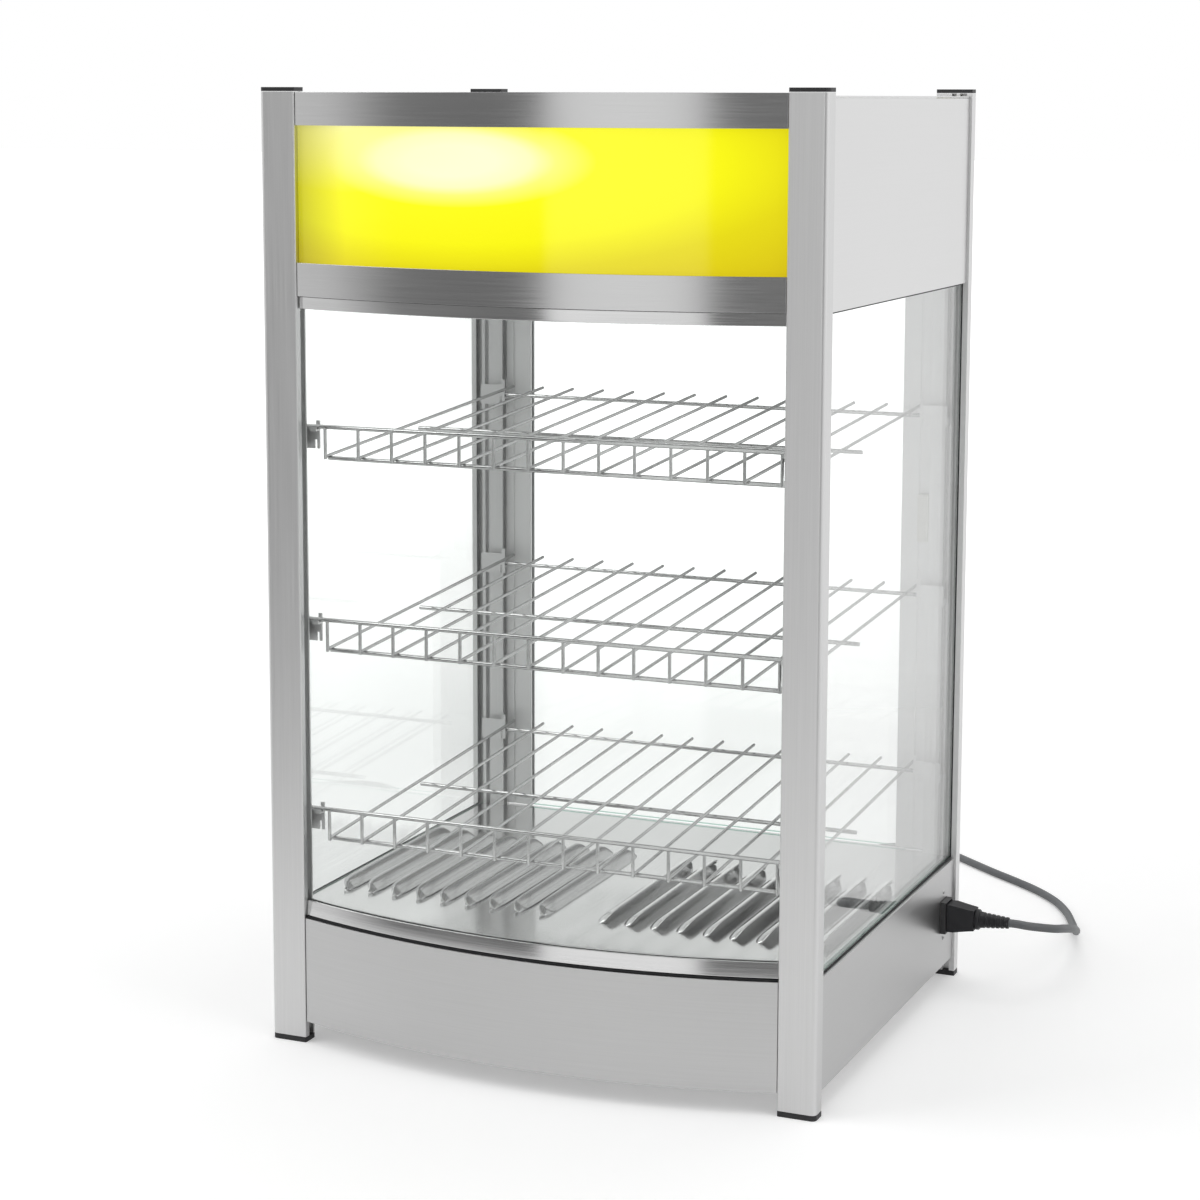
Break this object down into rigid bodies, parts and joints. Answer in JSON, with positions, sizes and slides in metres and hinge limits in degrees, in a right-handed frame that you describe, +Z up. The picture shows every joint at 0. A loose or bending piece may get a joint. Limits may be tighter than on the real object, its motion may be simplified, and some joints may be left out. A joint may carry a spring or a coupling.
{
  "type": "food warmer cabinet",
  "caption": "Heated display cabinet with a bowed glass front, flat glass sides, wire shelves, a lit yellow sign box on top, a rear glass door and a power cord.",
  "frame": {"origin": "bottom centre of the box that the cabinet fills without its power cord, connector and plug, at the height that its four feet stand on", "axes": "+X to the right seen from the bowed front, +Y from the front to the rear door, +Z up"},
  "size_m": [0.5496, 0.7656, 0.748],
  "materials": {
    "post": "brushed",
    "cap": "matte",
    "rail": "brushed",
    "light_panel": "translucent",
    "sheet": "satin",
    "lamp": "frosted",
    "white_plastic": "satin",
    "trim": "polished",
    "glass": "clear",
    "seal": "matte",
    "base": "brushed",
    "floor": "polished",
    "element": "dull",
    "black_plastic": "satin",
    "rocker_heat": "gloss",
    "rocker_light": "gloss",
    "wire": "polished",
    "door_frame": "brushed",
    "hinge": "satin",
    "moulding": "satin",
    "cord": "matte"
  },
  "bodies": {
    "cabinet": {"post_front_left": "post", "post_front_right": "post", "post_rear_left": "post", "post_rear_right": "post", "foot_cap_front_left": "cap", "foot_cap_front_right": "cap", "foot_cap_rear_left": "cap", "foot_cap_rear_right": "cap", "top_cap_front_left": "cap", "top_cap_front_right": "cap", "top_cap_rear_left": "cap", "top_cap_rear_right": "cap", "header_top_rail": "rail", "header_lower_rail": "rail", "light_panel": "light_panel", "roof_panel": "sheet", "header_floor": "sheet", "header_back": "sheet", "header_side_left": "sheet", "header_side_right": "sheet", "lamp_tube": "lamp", "lamp_holder_left": "white_plastic", "lamp_holder_right": "white_plastic", "top_glass_trim": "trim", "bottom_glass_trim": "trim", "front_glass": "glass", "sill_seal": "seal", "side_glass_left": "glass", "side_glass_right": "glass", "side_gasket_left": "seal", "side_gasket_right": "seal", "base_front": "base", "base_side_left": "base", "base_side_right": "base", "base_back": "base", "bottom_cover": "sheet", "floor_plate": "floor", "heating_element": "element", "thermostat_body": "white_plastic", "heat_switch_housing": "black_plastic", "light_switch_housing": "black_plastic", "hinge_lower": "hinge", "hinge_upper": "hinge", "door_catch": "white_plastic", "power_inlet": "black_plastic", "connector": "moulding", "cord": "cord", "cord_coil": "cord", "wall_plug": "moulding"},
    "rear_door": {"door_glass": "glass", "door_stile_hinge": "door_frame", "door_stile_latch": "door_frame", "door_knob": "black_plastic"},
    "thermostat_knob": {"thermostat_knob": "black_plastic"},
    "heat_rocker": {"heat_switch": "rocker_heat"},
    "light_rocker": {"light_switch": "rocker_light"},
    "bottom_shelf": {"shelf_bottom": "wire"},
    "middle_shelf": {"shelf_middle": "wire"},
    "top_shelf": {"shelf_top": "wire"}
  },
  "joints": [
    {"name": "door_swing", "type": "hinge", "parent": "cabinet", "child": "rear_door", "pos_m": [-0.19775, 0.19635, 0.3475], "axis": [0, 0, 1], "range_deg": [0, 120]},
    {"name": "thermostat_turn", "type": "hinge", "parent": "cabinet", "child": "thermostat_knob", "pos_m": [-0.1215, 0.19535, 0.058], "axis": [0, -1, 0], "range_deg": [0, 270]},
    {"name": "heat_rock", "type": "hinge", "parent": "cabinet", "child": "heat_rocker", "pos_m": [-0.0535, 0.18865, 0.058], "axis": [-1, 0, 0], "range_deg": [0, 18]},
    {"name": "light_rock", "type": "hinge", "parent": "cabinet", "child": "light_rocker", "pos_m": [-0.0095, 0.18865, 0.058], "axis": [-1, 0, 0], "range_deg": [0, 18]},
    {"name": "bottom_shelf_lift", "type": "slide", "parent": "cabinet", "child": "bottom_shelf", "axis": [0, 0, 1], "range_m": [0, 0.02]},
    {"name": "middle_shelf_lift", "type": "slide", "parent": "cabinet", "child": "middle_shelf", "axis": [0, 0, 1], "range_m": [0, 0.02]},
    {"name": "top_shelf_lift", "type": "slide", "parent": "cabinet", "child": "top_shelf", "axis": [0, 0, 1], "range_m": [0, 0.02]}
  ]
}
